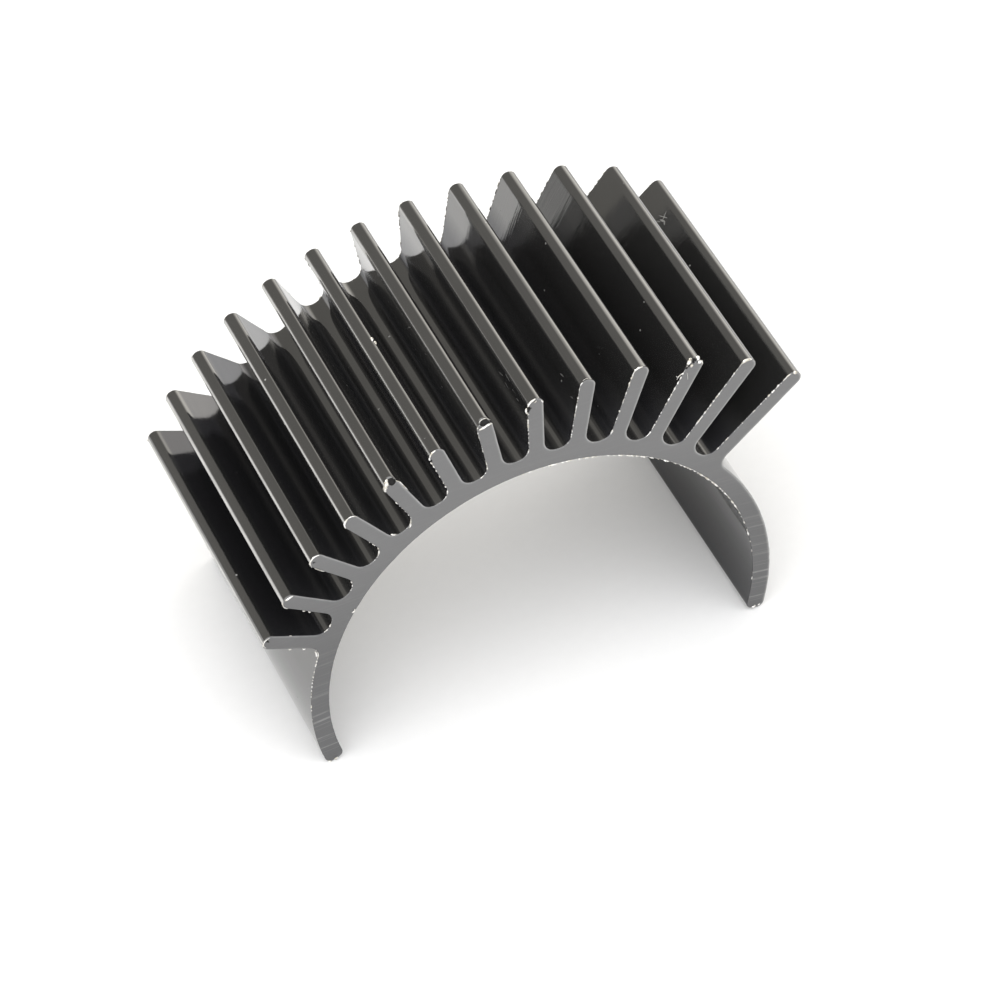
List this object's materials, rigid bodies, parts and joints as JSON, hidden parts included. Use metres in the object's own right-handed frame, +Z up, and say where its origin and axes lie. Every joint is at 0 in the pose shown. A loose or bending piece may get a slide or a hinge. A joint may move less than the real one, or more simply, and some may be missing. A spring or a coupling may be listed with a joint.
{
  "type": "motor heat sink",
  "caption": "Clip-on motor heat sink: an extruded aluminium C-shaped spring clip that grips a motor can, with a leaning fan of radial cooling fins.",
  "frame": {"origin": "on the axis of the motor that the clip grips, half way along the extrusion", "axes": "+Y along the motor's axis, +Z up through the top of the clip as it stands on its two arms, +X towards the longer fins"},
  "size_m": [0.0452, 0.025, 0.0307],
  "materials": {
    "anodised_aluminium": "satin gun-metal anodised on the extruded faces, mid-grey sawn ends with bright bare edges"
  },
  "bodies": {
    "root": {"heat_sink": "anodised_aluminium"}
  },
  "joints": []
}
